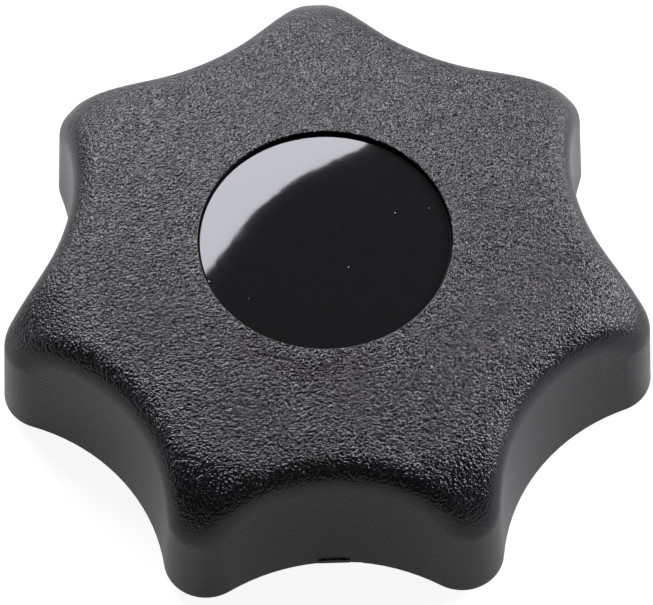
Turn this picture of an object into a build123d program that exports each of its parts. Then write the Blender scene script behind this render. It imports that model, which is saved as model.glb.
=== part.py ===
from build123d import *
from math import asin, atan2, cos, hypot, pi, radians, sin, tan
import os

# Seven-lobe star knob: a moulded body, a threaded insert moulded into its hub and a snap-in cap.
# Millimetres, +Z up. The origin is the middle of the insert's clamping face, which the knob
# stands on. The rim of the star ends a little above that face. One lobe points along +Y.

# --- star wall ---------------------------------------------------------------------------------
LOBES = 7
STAR_RADIUS = 31.5          # axis to the end of a lobe, at the rim
LOBE_END_RADIUS = 4.0       # rounding of a lobe's end, seen from above
VALLEY_DEPTH = 6.1          # how far a valley's deepest point lies inside the lobe ends
STAR_HEIGHT = 17.2          # rim to the middle of the top
OUTER_DRAFT = 3.0           # lean of the outer wall, degrees
WALL = 2.6                  # thickness of the star wall at the rim
RIM_ROUND = 0.35            # edge round at the foot of the outer wall

# --- top ---------------------------------------------------------------------------------------
CROWN_RADIUS = 143.0        # the large sphere of the top
SHOULDER_RADIUS = 9.0       # roll-over of the lobe ends, tangent to the crown
EDGE_ROUND = 3.0            # soft edge all round the top
EDGE_SHARE = 0.97           # most that the soft edge may take of a lobe end's own rounding
PLATE = 2.8                 # thickness of the top plate

# --- hub, ribs and pockets ---------------------------------------------------------------------
HUB_RADIUS = 13.0
HUB_EDGE = 0.6              # chamfer round the hub's lower face
RIB = 2.0                   # thickness of a rib at its lower edge
RIB_SET_BACK = 3.0          # rim to the lower edge of a rib
POCKET_DRAFT = 1.5          # lean of the pocket walls, degrees
POCKET_CORNER = 1.4         # rounding of the pocket corners, seen from below
INNER_END_RADIUS = 1.2      # least rounding inside a lobe's end
RIM_LIFT = 1.2              # clamping face to the rim
METAL_PROUD = 0.3           # how far the insert stands out of the hub's lower face

# --- threaded insert, M10, turned from hexagon bar ---------------------------------------------
THREAD_BORE = 8.5           # diameter inside the thread crests
THREAD_MAJOR = 10.0
INSERT_LENGTH = 11.5
INSERT_FLATS = 16.0         # across the flats
INSERT_COLLAR = 15.2        # diameter of the turned ends
COLLAR_LENGTH = 1.6
GROOVE_DIAMETER = 13.0
GROOVE_WIDTH = 2.6
SCREW_CLEARANCE = 0.6       # on diameter, round a screw that passes beyond the insert

# --- cap and its seat --------------------------------------------------------------------------
RECESS_DIAMETER = 23.8
RECESS_LIP_ROUND = 0.12
CAP_GAP = 0.08               # all round the cap
CAP_DROP = 0.5             # the cap's edge below the lip of the recess
CAP_EDGE_HEIGHT = 1.5
CAP_EDGE_ROUND = 0.15
CAP_CROWN = 0.3             # rise of the cap's middle over its edge
CAP_LEVEL_RADIUS = 3.5      # the level middle of the cap, from which its crown falls away
SOCKET_DIAMETER = 16.4      # takes the cap's snap collar
SNAP_GAP = 0.15             # all round the collar and its bead
SNAP_WALL = 1.2
SNAP_DEPTH = 2.3
SNAP_SLOTS = 4
SNAP_SLOT_WIDTH = 1.6
BEAD = 0.35                 # how far the bead stands out of the collar
BEAD_HEIGHT = 0.9
SOCKET_SPARE = 0.3          # under the collar

# --- trimmed moulding gate at the foot of the wall ---------------------------------------------
GATE_WIDTH = 3.0
GATE_HEIGHT = 0.6
GATE_PROUD = 0.12

LOBE_STEP = 2 * pi / LOBES
TOP = RIM_LIFT + STAR_HEIGHT
CROWN_CENTRE = TOP - CROWN_RADIUS


def polar(r, angle, centre=(0, 0)):
    return (centre[0] + r * cos(angle), centre[1] + r * sin(angle))


def crown_height(r):
    """Height of the top's large sphere at the distance r from the axis."""
    return CROWN_CENTRE + (CROWN_RADIUS**2 - r**2) ** 0.5


RECESS_FLOOR = crown_height(RECESS_DIAMETER / 2) - CAP_DROP - CAP_EDGE_HEIGHT
COLLAR_END = RECESS_FLOOR - SNAP_DEPTH
BEAD_MIDDLE = COLLAR_END + BEAD_HEIGHT / 2


def star_sketch(inset):
    """The star seen from above: round lobe ends, each tangent to the arcs of its two valleys."""
    end_radius = max(LOBE_END_RADIUS - inset, INNER_END_RADIUS)
    end_centre = STAR_RADIUS - inset - end_radius
    valley = STAR_RADIUS - VALLEY_DEPTH - inset
    half = LOBE_STEP / 2
    # Tangency puts the two arcs' centres one sum of radii apart, which gives the valley's radius.
    known = end_centre**2 + valley**2 - 2 * end_centre * valley * cos(half) - end_radius**2
    valley_radius = known / (2 * (end_centre * cos(half) + end_radius - valley))
    valley_centre = valley + valley_radius
    turn = atan2(valley_centre * sin(half), valley_centre * cos(half) - end_centre)
    with BuildSketch() as sketch:
        with BuildLine():
            for lobe in range(LOBES):
                out = pi / 2 + lobe * LOBE_STEP
                following = out + LOBE_STEP
                centre = polar(end_centre, out)
                before = polar(end_radius, out - turn, centre)
                after = polar(end_radius, out + turn, centre)
                beyond = polar(end_radius, following - turn, polar(end_centre, following))
                ThreePointArc(before, polar(end_centre + end_radius, out), after)
                ThreePointArc(after, polar(valley, out + half), beyond)
        make_face()
    return sketch.sketch


def under_top(inset):
    """Everything under the crown and its shoulder, with that surface moved inwards by inset."""
    shoulder_r = STAR_RADIUS - SHOULDER_RADIUS
    reach = CROWN_RADIUS - SHOULDER_RADIUS
    meet = asin(shoulder_r / reach)
    shoulder_z = CROWN_CENTRE + reach * cos(meet)
    crown = CROWN_RADIUS - inset
    shoulder = SHOULDER_RADIUS - inset
    apex = (0, CROWN_CENTRE + crown)
    crown_middle = (crown * sin(meet / 2), CROWN_CENTRE + crown * cos(meet / 2))
    tangent = (crown * sin(meet), CROWN_CENTRE + crown * cos(meet))
    shoulder_middle = polar(shoulder, (pi / 2 - meet) / 2, (shoulder_r, shoulder_z))
    side = (shoulder_r + shoulder, shoulder_z)
    foot = (side[0] + shoulder_z, 0)
    with BuildPart() as form:
        with BuildSketch(Plane.YZ):
            with BuildLine():
                ThreePointArc(apex, crown_middle, tangent)
                ThreePointArc(tangent, shoulder_middle, side)
                Polyline(side, foot, (0, 0), apex)
            make_face()
        revolve(axis=Axis.Z)
    return form.part


def disc(diameter, low, high):
    return Pos(0, 0, low) * extrude(Circle(diameter / 2), high - low)


def is_top_edge(edge):
    """True for the wall's edges that lie clear of the rim and don't run down to it."""
    return edge.bounding_box().min.Z > RIM_LIFT + RIM_ROUND


def star_shell():
    """The star's outside as a full solid, with its soft top edge and a broken foot edge."""
    blank = Pos(0, 0, RIM_LIFT) * extrude(star_sketch(0), STAR_HEIGHT + 1, taper=OUTER_DRAFT)
    shell = blank & under_top(0)
    lobe_end_at_top = LOBE_END_RADIUS - STAR_HEIGHT * tan(radians(OUTER_DRAFT))
    edge_round = min(EDGE_ROUND, EDGE_SHARE * lobe_end_at_top)
    walls = shell.faces().filter_by(GeomType.CONE)
    shell = shell.fillet(edge_round, walls.edges().filter_by(is_top_edge))
    rim = shell.faces().sort_by(Axis.Z)[0]
    return shell.fillet(RIM_ROUND, rim.edges())


def pocket_openings(outline):
    """The outline parted into one opening for each lobe by the hub and the ribs to the valleys."""
    openings = outline - Circle(HUB_RADIUS)
    for valley in range(LOBES):
        turn = 90 + (valley + 0.5) * 360 / LOBES
        openings -= Rot(0, 0, turn) * Pos(STAR_RADIUS / 2, 0) * Rectangle(STAR_RADIUS, RIB)
    return openings.faces()


def is_rib_corner(edge):
    """True for a pocket's upright edges at the hub and beside the outer ends of its ribs."""
    foot = edge @ 0
    if abs(edge.tangent_at(0.5).Z) < 0.9:
        return False
    from_valley = abs(((atan2(foot.Y, foot.X) - pi / 2) / LOBE_STEP) % 1 - 0.5) * LOBE_STEP
    return hypot(foot.X, foot.Y) * sin(from_valley) < RIB


def hollow():
    """The space inside the star wall: open under the ribs, then one pocket for each lobe."""
    ribs_z = RIM_LIFT + RIB_SET_BACK
    mouth = Pos(0, 0, RIM_LIFT) * extrude(star_sketch(WALL), RIB_SET_BACK, taper=OUTER_DRAFT)
    outline = Pos(0, 0, -ribs_z) * mouth.faces().sort_by(Axis.Z)[-1]
    spaces = [mouth - disc(2 * HUB_RADIUS, 0, TOP)]
    for opening in pocket_openings(outline):
        pocket = Pos(0, 0, ribs_z) * extrude(opening, TOP - ribs_z, taper=POCKET_DRAFT)
        pocket = pocket.fillet(POCKET_CORNER, pocket.edges().filter_by(is_rib_corner))
        spaces.append(pocket & under_top(PLATE))
    return spaces


def hub_foot():
    """The hub's lower end, which stands out below the rim."""
    foot = disc(2 * HUB_RADIUS, METAL_PROUD, RIM_LIFT + RIB_SET_BACK)
    return chamfer(foot.edges().sort_by(Axis.Z)[0], HUB_EDGE)


def insert_outside():
    """The insert's outer form: turned ends, a hexagon between them and a groove round it."""
    hexagon = RegularPolygon(INSERT_FLATS / 2, 6, major_radius=False)
    middle = INSERT_LENGTH / 2
    body = Pos(0, 0, COLLAR_LENGTH) * extrude(hexagon, INSERT_LENGTH - 2 * COLLAR_LENGTH)
    groove = disc(2 * INSERT_FLATS, middle - GROOVE_WIDTH / 2, middle + GROOVE_WIDTH / 2)
    body -= groove
    body += disc(INSERT_COLLAR, 0, COLLAR_LENGTH)
    body += disc(INSERT_COLLAR, INSERT_LENGTH - COLLAR_LENGTH, INSERT_LENGTH)
    return body + disc(GROOVE_DIAMETER, 0, INSERT_LENGTH)


def threaded_insert():
    return insert_outside() - disc(THREAD_BORE, 0, INSERT_LENGTH)


def snap_bead(stand_out, height):
    """The ring with sloping flanks round the collar, or the groove that it snaps into."""
    root = SOCKET_DIAMETER / 2 - SNAP_GAP
    inner = root - SNAP_WALL / 2
    low, high = BEAD_MIDDLE - height / 2, BEAD_MIDDLE + height / 2
    outline = [(inner, low), (root, low), (root + stand_out, BEAD_MIDDLE), (root, high), (inner, high)]
    return revolve(Plane.XZ * make_face(Polyline(outline, close=True)), Axis.Z)


def cap_seat():
    """What is cut for the cap: its recess, the collar's socket and the groove for the bead."""
    seat = disc(RECESS_DIAMETER, RECESS_FLOOR, TOP + 1)
    socket_floor = COLLAR_END - SOCKET_SPARE
    seat += disc(SOCKET_DIAMETER, socket_floor, RECESS_FLOOR)
    seat += snap_bead(BEAD + SNAP_GAP, BEAD_HEIGHT + 2 * SNAP_GAP)
    return seat + disc(THREAD_MAJOR + SCREW_CLEARANCE, INSERT_LENGTH, socket_floor)


def gate():
    """The trimmed stub of the moulding gate at the foot of the wall in the -Y valley."""
    wall_y = VALLEY_DEPTH - STAR_RADIUS
    foot_z = RIM_LIFT + RIM_ROUND
    outline = [
        (wall_y + WALL / 2, foot_z),
        (wall_y - GATE_PROUD, foot_z),
        (wall_y - GATE_PROUD, foot_z + GATE_HEIGHT - GATE_PROUD),
        (wall_y + WALL / 2, foot_z + GATE_HEIGHT + WALL / 2),
    ]
    return extrude(Plane.YZ * make_face(Polyline(outline, close=True)), GATE_WIDTH / 2, both=True)


def is_recess_lip(edge):
    box = edge.bounding_box()
    return box.min.Z > RECESS_FLOOR + CAP_EDGE_HEIGHT / 2 and box.max.X < RECESS_DIAMETER / 2 + RECESS_LIP_ROUND


def knob_body():
    body = star_shell()
    for space in hollow():
        body -= space
    body += hub_foot()
    body -= cap_seat()
    lip = body.edges().filter_by(is_recess_lip)
    body = body.fillet(RECESS_LIP_ROUND, lip)
    body -= insert_outside()
    return body + gate()


def centre_cap():
    """A disc that seats in the recess, level in the middle, with a slotted snap collar under it."""
    r = RECESS_DIAMETER / 2 - CAP_GAP
    edge_z = RECESS_FLOOR + CAP_EDGE_HEIGHT
    crown_z = edge_z + CAP_CROWN
    crown = TangentArc((CAP_LEVEL_RADIUS, crown_z), (r, edge_z), tangent=(1, 0))
    sides = Polyline((r, edge_z), (r, RECESS_FLOOR), (0, RECESS_FLOOR), (0, crown_z), crown @ 0)
    cap = revolve(Plane.XZ * make_face([crown, sides]), Axis.Z)
    cap = cap.fillet(CAP_EDGE_ROUND, cap.edges().filter_by_position(Axis.Z, edge_z, edge_z))
    outside = SOCKET_DIAMETER - 2 * SNAP_GAP
    collar = disc(outside, COLLAR_END, RECESS_FLOOR) + snap_bead(BEAD, BEAD_HEIGHT)
    collar -= disc(outside - 2 * SNAP_WALL, COLLAR_END, RECESS_FLOOR)
    slot = Box(SNAP_SLOT_WIDTH, SOCKET_DIAMETER, SNAP_DEPTH, align=(Align.CENTER, Align.MIN, Align.MIN))
    for number in range(SNAP_SLOTS):
        collar -= Pos(0, 0, COLLAR_END) * Rot(0, 0, number * 360 / SNAP_SLOTS) * slot
    return cap + collar


os.makedirs("parts", exist_ok=True)
export_step(knob_body(), "parts/knob_body.step")
export_step(threaded_insert(), "parts/threaded_insert.step")
export_step(centre_cap(), "parts/centre_cap.step")
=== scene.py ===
from math import cos, pi, radians, sin

import bpy
from mathutils import Matrix, Vector


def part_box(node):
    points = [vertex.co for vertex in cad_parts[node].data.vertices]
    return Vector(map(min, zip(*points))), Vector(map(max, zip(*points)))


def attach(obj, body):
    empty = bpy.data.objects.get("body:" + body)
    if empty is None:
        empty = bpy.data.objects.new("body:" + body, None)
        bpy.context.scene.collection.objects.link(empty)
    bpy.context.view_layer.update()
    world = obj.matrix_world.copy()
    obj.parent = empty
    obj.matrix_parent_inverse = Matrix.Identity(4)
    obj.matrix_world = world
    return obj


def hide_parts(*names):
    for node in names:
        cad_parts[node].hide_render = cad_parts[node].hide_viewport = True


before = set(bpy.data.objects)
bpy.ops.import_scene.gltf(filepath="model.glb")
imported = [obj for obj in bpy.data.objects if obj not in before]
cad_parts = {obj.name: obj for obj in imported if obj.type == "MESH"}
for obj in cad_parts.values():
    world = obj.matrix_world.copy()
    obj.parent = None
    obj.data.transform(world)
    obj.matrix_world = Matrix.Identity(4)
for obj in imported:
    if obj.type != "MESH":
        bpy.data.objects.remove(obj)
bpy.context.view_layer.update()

# --- sizes, in metres ---------------------------------------------------------------------------
MM = 0.001
INSERT_LOW, INSERT_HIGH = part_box("threaded_insert")
RIM_LIFT = 1.2 * MM             # clamping face to the rim
RIM_CENTRE = Vector((0, 0, RIM_LIFT))

# The trimmed gate at the foot of the front valley. Its patch is painted paler, partly for the cut plastic and
# partly as a painted highlight of the stub's lit upper face.
SCAR_HIGHLIGHT_HALF_WIDTH = 1.5 * MM
SCAR_HIGHLIGHT_TOP = 1.9 * MM
SCAR_HIGHLIGHT_FRONT = 15 * MM            # it lies farther forward than this

# The brass insert: a hexagonal bar with turned ends and a waist that locks it in the plastic.
ACROSS_FLATS = INSERT_HIGH[1] - INSERT_LOW[1]
INSERT_LENGTH = INSERT_HIGH[2] - INSERT_LOW[2]
COLLAR_RADIUS = 7.6 * MM
COLLAR_LENGTH = 1.6 * MM
WAIST_RADIUS = 6.5 * MM
WAIST_LENGTH = 2.6 * MM
CHAMFER = 0.25 * MM

# Its M10 thread.
MAJOR_RADIUS = 5.0 * MM
BORE_RADIUS = 4.25 * MM
PITCH = 1.5 * MM
LEAD_IN_RADIUS = 5.25 * MM      # of the countersink in either end face


# --- shader expressions -------------------------------------------------------------------------
class Value:
    """A shader socket that takes part in Python sums; each operator adds its Math node."""

    def __init__(self, recipe, socket):
        self.recipe = recipe
        self.socket = socket

    def _math(self, operation, *values, clamp=False):
        node = self.recipe.node("ShaderNodeMath", {"operation": operation, "use_clamp": clamp}, *values)
        return node[0]

    def __add__(self, other):
        return self._math("ADD", self, other)

    def __radd__(self, other):
        return self._math("ADD", other, self)

    def __sub__(self, other):
        return self._math("SUBTRACT", self, other)

    def __rsub__(self, other):
        return self._math("SUBTRACT", other, self)

    def __mul__(self, other):
        return self._math("MULTIPLY", self, other)

    def __rmul__(self, other):
        return self._math("MULTIPLY", other, self)

    def __pow__(self, other):
        return self._math("POWER", self, other)

    def sine(self):
        return self._math("SINE", self)

    def clamped(self):
        return self._math("ADD", self, 0.0, clamp=True)

    def step_up(self, low, high):
        """0 below low, 1 above high, and a smooth rise between them."""
        settings = {"interpolation_type": "SMOOTHSTEP", "clamp": True}
        return self.recipe.node("ShaderNodeMapRange", settings, self, low, high, 0.0, 1.0)[0]


class Recipe:
    """The node tree of one material."""

    def __init__(self, name):
        self.material = bpy.data.materials.new(name)
        self.material.use_nodes = True
        self.tree = self.material.node_tree
        self.tree.nodes.clear()

    def node(self, kind, settings, *values, **named):
        """Adds a node: its settings first, then its sockets in order or by name."""
        node = self.tree.nodes.new(kind)
        for key, value in settings.items():
            setattr(node, key, value)
        open_sockets = [socket for socket in node.inputs if socket.enabled]
        for socket, value in zip(open_sockets, values):
            self._feed(socket, value)
        for name, value in named.items():
            self._feed(node.inputs[name.replace("_", " ")], value)
        return [Value(self, socket) for socket in node.outputs if socket.enabled]

    def _feed(self, socket, value):
        if isinstance(value, Value):
            self.tree.links.new(value.socket, socket)
        elif value is not None:
            socket.default_value = value

    def outputs(self, kind):
        """A node without inputs, as its output values by name."""
        return {value.socket.name: value for value in self.node(kind, {})}

    def place(self):
        """Where the shaded point lies, in the part's own metres."""
        return self.outputs("ShaderNodeTexCoord")["Object"]

    def parts_of(self, vector):
        return self.node("ShaderNodeSeparateXYZ", {}, vector)

    def noise(self, scale, detail=2.0):
        """Soft cloudy variation; scale is its cells to a metre."""
        settings = {"noise_dimensions": "3D"}
        return self.node("ShaderNodeTexNoise", settings, Vector=self.place(), Scale=scale, Detail=detail)[0]

    def cells(self, scale):
        """Distance from the nearest of scattered points; scale is their number to a metre."""
        return self.node("ShaderNodeTexVoronoi", {"feature": "F1"}, Vector=self.place(), Scale=scale)[0]

    def dust(self, scale, speck):
        """1 on small specks that lie apart; speck is their size as a share of a cell."""
        return 1.0 - self.cells(scale).step_up(*speck)

    def blend(self, factor, first, second):
        """A colour between two others."""
        node = self.tree.nodes.new("ShaderNodeMix")
        node.data_type = "RGBA"
        for socket, value in zip((node.inputs[0], node.inputs[6], node.inputs[7]), (factor, first, second)):
            self._feed(socket, (*value, 1.0) if isinstance(value, tuple) else value)
        return Value(self, node.outputs[2])

    def bump(self, height, distance):
        return self.node("ShaderNodeBump", {}, Height=height, Distance=distance, Strength=1.0)[0]

    def facing_up(self):
        """The upward part of the surface's own direction: 1 on a level top, 0 on an upright wall."""
        return self.parts_of(self.outputs("ShaderNodeNewGeometry")["Normal"])[2]

    def surface(self, **named):
        shader = self.node("ShaderNodeBsdfPrincipled", {}, **named)[0]
        self.output(shader)
        return self.material

    def output(self, shader):
        self.node("ShaderNodeOutputMaterial", {}, shader)


# --- materials ----------------------------------------------------------------------------------
GRAIN_DEPTH = 0.14 * MM
POLISH_WAVES = 0.010 * MM
TURNED_RING_PITCH = 0.16 * MM
TURNED_RING_DEPTH = 0.008 * MM


def gate_scar_highlight(m):
    """1 on the trimmed gate's patch: cut plastic with a painted highlight, paler where the stub's upper face
    catches the light.
    """
    x, y, z = m.parts_of(m.place())
    beside = (x * x).step_up(SCAR_HIGHLIGHT_HALF_WIDTH**2 * 0.7, SCAR_HIGHLIGHT_HALF_WIDTH**2 * 1.2)
    above = z.step_up(SCAR_HIGHLIGHT_TOP * 0.95, SCAR_HIGHLIGHT_TOP)
    in_front = (0.0 - y).step_up(SCAR_HIGHLIGHT_FRONT, SCAR_HIGHLIGHT_FRONT + MM)
    return (1.0 - beside) * (1.0 - above) * in_front


def moulding_material():
    """Black moulding: leather-like grain on top that fades over the soft edge to a fine matte."""
    m = Recipe("black_moulding")
    grained = m.facing_up().step_up(0.30, 0.90)
    broad = m.noise(3250.0, detail=1.0)
    fine = m.noise(6800.0, detail=0.0)
    pebbles = m.cells(3300.0)
    grain = broad + fine * 0.55 - pebbles * 0.50
    skin = m.noise(4200.0, detail=2.0)
    normal = m.bump(grain * grained + skin * 0.40, GRAIN_DEPTH)
    cloud = m.noise(90.0, detail=3.0)
    dust = m.dust(420.0, (0.018, 0.030))
    scar_highlight = gate_scar_highlight(m)
    tone = (cloud * 0.5 + broad * 0.5).clamped()
    colour = m.blend(tone, (0.0070, 0.0062, 0.0066), (0.0120, 0.0108, 0.0116))
    # Painted highlight: the gate's patch is made paler, partly for the cut plastic and partly standing in for
    # light on the stub's upper face.
    scar_highlight_colour = m.blend(scar_highlight * broad, colour, (0.060, 0.058, 0.058))
    dusty = m.blend(dust, scar_highlight_colour, (0.22, 0.22, 0.23))
    roughness = 0.30 - 0.12 * grained + (cloud - 0.5) * 0.06 + (dust + scar_highlight) * 0.3
    return m.surface(Base_Color=dusty, Roughness=roughness, IOR=1.43, Normal=normal)


def cap_material():
    """Polished black plastic with the faint waviness and stray dust of a handled gloss face."""
    m = Recipe("gloss_black")
    waves = m.noise(160.0, detail=2.0)
    haze = m.noise(900.0, detail=4.0)
    dust = m.dust(500.0, (0.030, 0.045))
    colour = m.blend(haze, (0.0065, 0.0065, 0.0065), (0.0095, 0.0095, 0.0095))
    dusty = m.blend(dust, colour, (0.20, 0.20, 0.21))
    normal = m.bump(waves, POLISH_WAVES)
    roughness = 0.03 + haze * 0.02 + dust * 0.4
    return m.surface(Base_Color=dusty, Roughness=roughness, IOR=1.55, Normal=normal)


def brass_material():
    """Turned brass: fine rings round the axis and a slightly dulled skin."""
    m = Recipe("turned_brass")
    x, y = m.parts_of(m.place())[:2]
    radius = (x * x + y * y) ** 0.5
    rings = (radius * (2 * pi / TURNED_RING_PITCH) + m.noise(700.0) * 2.0).sine()
    dull = m.noise(260.0, detail=4.0)
    colour = m.blend(dull, (0.62, 0.44, 0.19), (0.76, 0.58, 0.28))
    normal = m.bump(rings * 0.5 + dull * 0.4, TURNED_RING_DEPTH)
    roughness = 0.22 + dull * 0.14
    return m.surface(Base_Color=colour, Metallic=1.0, Roughness=roughness, Normal=normal)


def stage_material():
    """White studio sweep, a little over-exposed where it is seen directly."""
    m = Recipe("white_sweep")
    rays = m.outputs("ShaderNodeLightPath")
    glow = rays["Is Camera Ray"] * 0.92 + (rays["Is Glossy Ray"] + rays["Is Transmission Ray"]) * 0.42
    diffuse = m.node("ShaderNodeBsdfDiffuse", {}, (0.25, 0.25, 0.25, 1.0))[0]
    shine = m.node("ShaderNodeEmission", {}, (1.0, 1.0, 1.0, 1.0), glow)[0]
    m.output(m.node("ShaderNodeAddShader", {}, diffuse, shine)[0])
    return m.material


# --- meshes -------------------------------------------------------------------------------------
SHARP_ANGLE = 25


def new_piece(name, points, faces, material):
    """A mesh object whose shading breaks at its real edges."""
    mesh = bpy.data.meshes.new(name)
    mesh.from_pydata([tuple(p) for p in points], [], faces)
    mesh.materials.append(material)
    mesh.shade_smooth()
    mesh.set_sharp_from_angle(angle=radians(SHARP_ANGLE))
    piece = bpy.data.objects.new(name, mesh)
    bpy.context.scene.collection.objects.link(piece)
    return piece


def ring(segments, height, radius_at):
    """Points round the axis at one height; radius_at gives the radius for each angle."""
    angles = [2 * pi * step / segments for step in range(segments)]
    return [(radius_at(a) * cos(a), radius_at(a) * sin(a), height) for a in angles]


def round_end(radius):
    """The same radius for every angle, for ring."""
    return lambda angle: radius


def skin_of(rings):
    """Faces between neighbouring rings of equally many points."""
    segments = len(rings[0])
    faces = []
    for row in range(len(rings) - 1):
        low = row * segments
        for step in range(segments):
            following = (step + 1) % segments
            faces.append((low + step, low + following, low + segments + following, low + segments + step))
    return faces


# --- threaded insert ----------------------------------------------------------------------------
INSERT_SEGMENTS = 96
THREAD_FLANK_SLOPE = 0.57735    # tangent of 30 degrees, for a 60 degree thread
THREAD_ROOT_FLAT = 1 / 8        # share of the pitch

# Rows across one pitch as shares of it, with one close to each corner of the thread's profile.
THREAD_ROWS = [0, 0.15, 0.298, 0.37, 0.44, 0.51, 0.587, 0.65, 0.712, 0.78, 0.86, 0.93]


def hexagon(angle):
    """Distance from the axis to the hexagonal bar's outside at an angle; two flats face +Y and -Y."""
    from_flat = (angle + pi / 6 - pi / 2) % (pi / 3) - pi / 6
    return ACROSS_FLATS / 2 / cos(from_flat)


def insert_outline():
    """The bar's outside from its lower end face to its upper one, as rings."""
    low, high = INSERT_LOW[2], INSERT_HIGH[2]
    middle = (low + high) / 2
    stops = [
        (low, round_end(LEAD_IN_RADIUS)),
        (low, round_end(COLLAR_RADIUS - CHAMFER)),
        (low + CHAMFER, round_end(COLLAR_RADIUS)),
        (low + COLLAR_LENGTH, round_end(COLLAR_RADIUS)),
        (low + COLLAR_LENGTH, hexagon),
        (middle - WAIST_LENGTH / 2, hexagon),
        (middle - WAIST_LENGTH / 2, round_end(WAIST_RADIUS)),
        (middle + WAIST_LENGTH / 2, round_end(WAIST_RADIUS)),
        (middle + WAIST_LENGTH / 2, hexagon),
        (high - COLLAR_LENGTH, hexagon),
        (high - COLLAR_LENGTH, round_end(COLLAR_RADIUS)),
        (high - CHAMFER, round_end(COLLAR_RADIUS)),
        (high, round_end(COLLAR_RADIUS - CHAMFER)),
        (high, round_end(LEAD_IN_RADIUS)),
    ]
    return [ring(INSERT_SEGMENTS, height, radius_at) for height, radius_at in stops]


def thread_radius(share):
    """Radius of the threaded wall at a share of the pitch: crest flat, flank, root flat, flank."""
    depth = MAJOR_RADIUS - BORE_RADIUS
    flank = depth * THREAD_FLANK_SLOPE / PITCH
    crest = 1 - THREAD_ROOT_FLAT - 2 * flank
    if share < crest:
        return BORE_RADIUS
    if share < crest + flank:
        return BORE_RADIUS + depth * (share - crest) / flank
    if share < crest + flank + THREAD_ROOT_FLAT:
        return MAJOR_RADIUS
    return MAJOR_RADIUS - depth * (share - crest - flank - THREAD_ROOT_FLAT) / flank


def thread_wall(points, faces):
    """Adds the bore's wall, whose rows follow the helix and end on the lead-in's circles."""
    low, high = INSERT_LOW[2], INSERT_HIGH[2]
    spare_turns = 2
    turns = int(INSERT_LENGTH / PITCH) + 2 * spare_turns
    per_column = turns * len(THREAD_ROWS) + 1
    start = len(points)
    for column in range(INSERT_SEGMENTS):
        angle = 2 * pi * column / INSERT_SEGMENTS
        for row in range(per_column):
            turn, place = divmod(row, len(THREAD_ROWS))
            share = THREAD_ROWS[place]
            height = low + PITCH * (turn - spare_turns + share + column / INSERT_SEGMENTS)
            height = min(max(height, low), high)
            lead_in = LEAD_IN_RADIUS - min(height - low, high - height)
            radius = max(thread_radius(share), lead_in)
            points.append((radius * cos(angle), radius * sin(angle), height))
    for column in range(INSERT_SEGMENTS):
        last = column == INSERT_SEGMENTS - 1
        here = start + column * per_column
        there = start if last else here + per_column
        lift = len(THREAD_ROWS) if last else 0
        for row in range(per_column - 1 - lift):
            corners = (here + row, here + row + 1, there + row + 1 + lift, there + row + lift)
            if len({points[corner] for corner in corners}) > 2:
                faces.append(corners)


def threaded_insert(material):
    """The insert with its cut thread, in place of the solid's plain bore."""
    rings = insert_outline()
    points = [p for row in rings for p in row]
    faces = skin_of(rings)
    thread_wall(points, faces)
    piece = new_piece("brass_insert", points, faces, material)
    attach(piece, "root")
    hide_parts("threaded_insert")


# --- stage --------------------------------------------------------------------------------------
FLOOR_HEIGHT = -0.02 * MM       # just clear of the clamping face that stands on it
FLOOR_MIDDLE = 0.3
FLOOR_RADIUS = 1.6
FLOOR_BEND = 0.12
BEND_STEPS = 12
WALL_HEIGHT = 0.10
STAGE_SEGMENTS = 128


def make_floor():
    """A round floor that curves up into a low white wall."""
    outline = [(FLOOR_MIDDLE, FLOOR_HEIGHT), (FLOOR_RADIUS, FLOOR_HEIGHT)]
    for step in range(1, BEND_STEPS + 1):
        angle = step * pi / 2 / BEND_STEPS
        outline.append((FLOOR_RADIUS + FLOOR_BEND * sin(angle), FLOOR_HEIGHT + FLOOR_BEND * (1 - cos(angle))))
    outline.append((FLOOR_RADIUS + FLOOR_BEND, FLOOR_HEIGHT + FLOOR_BEND + WALL_HEIGHT))
    rings = [ring(STAGE_SEGMENTS, height, round_end(radius)) for radius, height in outline]
    faces = [tuple(range(STAGE_SEGMENTS))] + skin_of(rings)
    new_piece("floor", [p for row in rings for p in row], faces, stage_material())


def make_world(level):
    world = bpy.data.worlds.new("studio")
    world.use_nodes = True
    world.node_tree.nodes["Background"].inputs["Color"].default_value = (level, level, level * 1.05, 1.0)
    bpy.context.scene.world = world


def direction(azimuth, elevation):
    flat = cos(radians(elevation))
    return Vector((flat * cos(radians(azimuth)), flat * sin(radians(azimuth)), sin(radians(elevation))))


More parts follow.
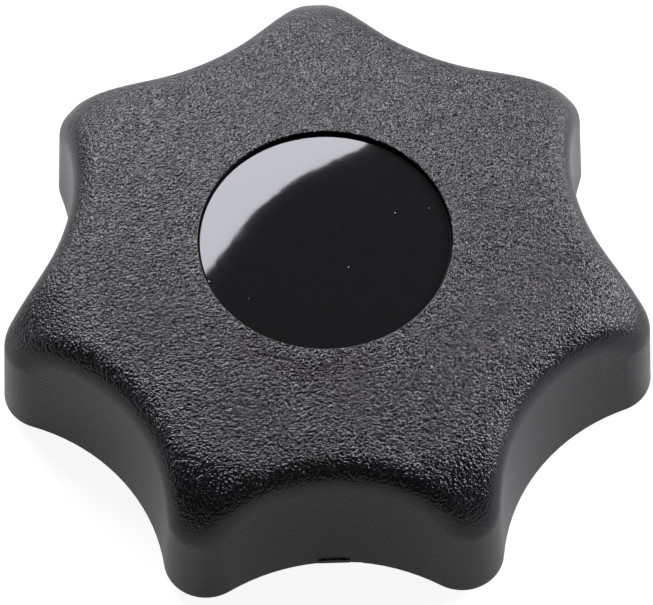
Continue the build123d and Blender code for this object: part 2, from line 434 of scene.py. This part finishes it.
def softbox(name, azimuth, elevation, side, radiance, tint, roll=0.0, distance=0.80):
    """A square area light that faces the knob; radiance is its brightness as seen from there."""
    lamp = bpy.data.lights.new(name, "AREA")
    lamp.shape = "SQUARE"
    lamp.size = side
    lamp.energy = radiance * pi * side**2
    lamp.color = tint
    box = bpy.data.objects.new(name, lamp)
    outward = direction(azimuth, elevation)
    turn = outward.to_track_quat("Z", "Y").to_matrix().to_4x4() @ Matrix.Rotation(radians(roll), 4, "Z")
    box.matrix_world = Matrix.Translation(outward * distance) @ turn
    bpy.context.scene.collection.objects.link(box)


def make_lights():
    """A large box behind to the left, whose edge crosses the cap's gloss, and one to the right."""
    softbox("rear_softbox", 109.8, 38.9, side=0.58, radiance=11.0, tint=(0.96, 0.97, 1.05), roll=28.3)
    softbox("side_softbox", 25.0, 27.0, side=0.50, radiance=14.0, tint=(0.97, 0.965, 1.06))


# --- camera -------------------------------------------------------------------------------------
LENS = 297.3                    # focal length on a sensor 36 wide
VIEW_AZIMUTH = -91.46
VIEW_ELEVATION = 59.21
VIEW_DISTANCE = 517.0 * MM      # from the middle of the rim
VIEW_LEAN = -0.38
AIM = RIM_CENTRE + Vector((0.09, 0, 5.15)) * MM


def make_camera():
    """A long lens from the front and above; the camera leans by a fraction of a degree."""
    data = bpy.data.cameras.new("camera")
    data.sensor_width = 36.0
    data.lens = LENS
    data.clip_start = 0.01
    camera = bpy.data.objects.new("camera", data)
    camera.location = RIM_CENTRE + direction(VIEW_AZIMUTH, VIEW_ELEVATION) * VIEW_DISTANCE
    upright = (AIM - camera.location).to_track_quat("-Z", "Y").to_matrix()
    camera.rotation_euler = (upright @ Matrix.Rotation(radians(VIEW_LEAN), 3, "Z")).to_euler()
    bpy.context.scene.collection.objects.link(camera)
    bpy.context.scene.camera = camera


# --- the scene ----------------------------------------------------------------------------------
def dress(node, material):
    """Gives a solid of the part its material."""
    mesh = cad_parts[node].data
    mesh.materials.clear()
    mesh.materials.append(material)


dress("knob_body", moulding_material())
dress("centre_cap", cap_material())
threaded_insert(brass_material())
make_floor()
make_world(level=0.01)
make_lights()
make_camera()

scene = bpy.context.scene
scene.view_settings.view_transform = "Standard"
